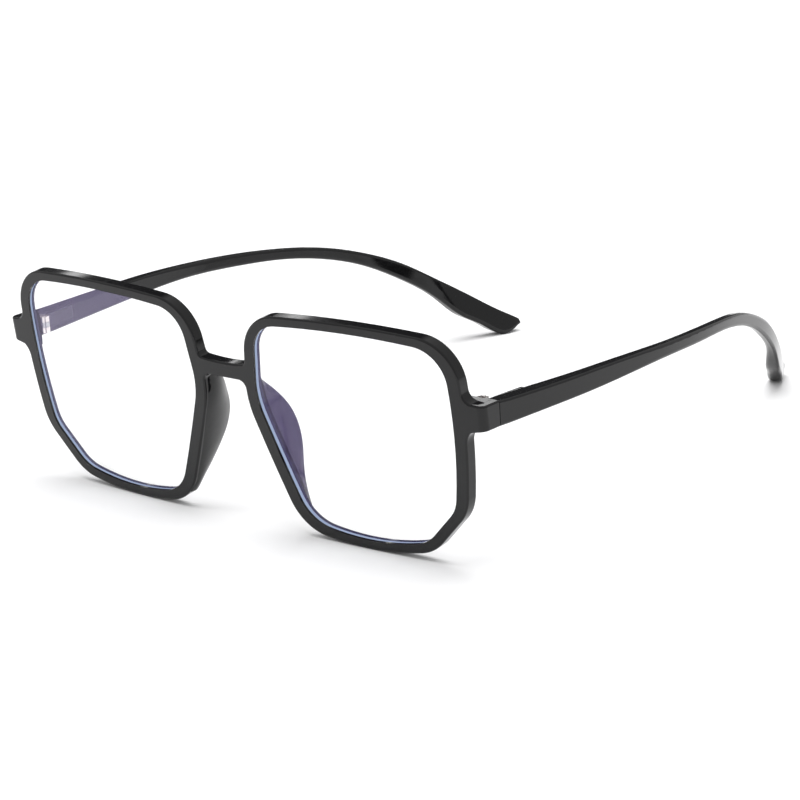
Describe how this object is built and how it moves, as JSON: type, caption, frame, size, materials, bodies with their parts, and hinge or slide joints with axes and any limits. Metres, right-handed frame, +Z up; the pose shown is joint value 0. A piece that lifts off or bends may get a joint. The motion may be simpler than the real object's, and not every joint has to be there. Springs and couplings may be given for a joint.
{
  "type": "blue light glasses",
  "caption": "Eyeglasses with a thin polished black front, large angular rounded lenses with a blue-light coating, moulded nose pads and slim folding temples on sprung hinges.",
  "frame": {"origin": "on the table under the middle of the open glasses: centre of the box's bottom face", "axes": "+Z up, -Y the way the wearer looks, +X the wearer's left; the glasses stand open on the lower rims and the temple tips"},
  "size_m": [0.1502, 0.1626, 0.0537],
  "materials": {
    "black_plastic": "polished injection-moulded black",
    "coated_lens": "clear, with a blue-violet blue-light filter coating",
    "hinge_steel": "polished plated steel",
    "black_painted_steel": "satin black",
    "spring_steel": "bright wire"
  },
  "bodies": {
    "front": {"front_frame": "black_plastic", "lens_left": "coated_lens", "hinge_leaf_left": "hinge_steel", "hinge_screw_left": "hinge_steel", "lens_right": "coated_lens", "hinge_leaf_right": "hinge_steel", "hinge_screw_right": "hinge_steel"},
    "slider_left": {"slider_left": "hinge_steel", "rod_head_left": "hinge_steel"},
    "temple_left": {"temple_left": "black_plastic", "spring_housing_left": "black_painted_steel", "stop_bush_left": "hinge_steel", "spring_left": "spring_steel"},
    "slider_right": {"slider_right": "hinge_steel", "rod_head_right": "hinge_steel"},
    "temple_right": {"temple_right": "black_plastic", "spring_housing_right": "black_painted_steel", "stop_bush_right": "hinge_steel", "spring_right": "spring_steel"}
  },
  "joints": [
    {"name": "fold_left", "type": "hinge", "parent": "front", "child": "slider_left", "pos_m": [0.0668, -0.07018, 0.03683], "axis": [0, 0, 1], "range_deg": [0, 82]},
    {"name": "flex_left", "type": "slide", "parent": "slider_left", "child": "temple_left", "axis": [0.0872, 0.9962, 0], "range_m": [0, 0.0015], "stiffness_N_per_m": 2500, "springref_m": -0.001, "deforming": ["spring_left"]},
    {"name": "fold_right", "type": "hinge", "parent": "front", "child": "slider_right", "pos_m": [-0.0668, -0.07018, 0.03683], "axis": [0, 0, -1], "range_deg": [0, 74]},
    {"name": "flex_right", "type": "slide", "parent": "slider_right", "child": "temple_right", "axis": [-0.0872, 0.9962, 0], "range_m": [0, 0.0015], "stiffness_N_per_m": 2500, "springref_m": -0.001, "deforming": ["spring_right"]}
  ]
}
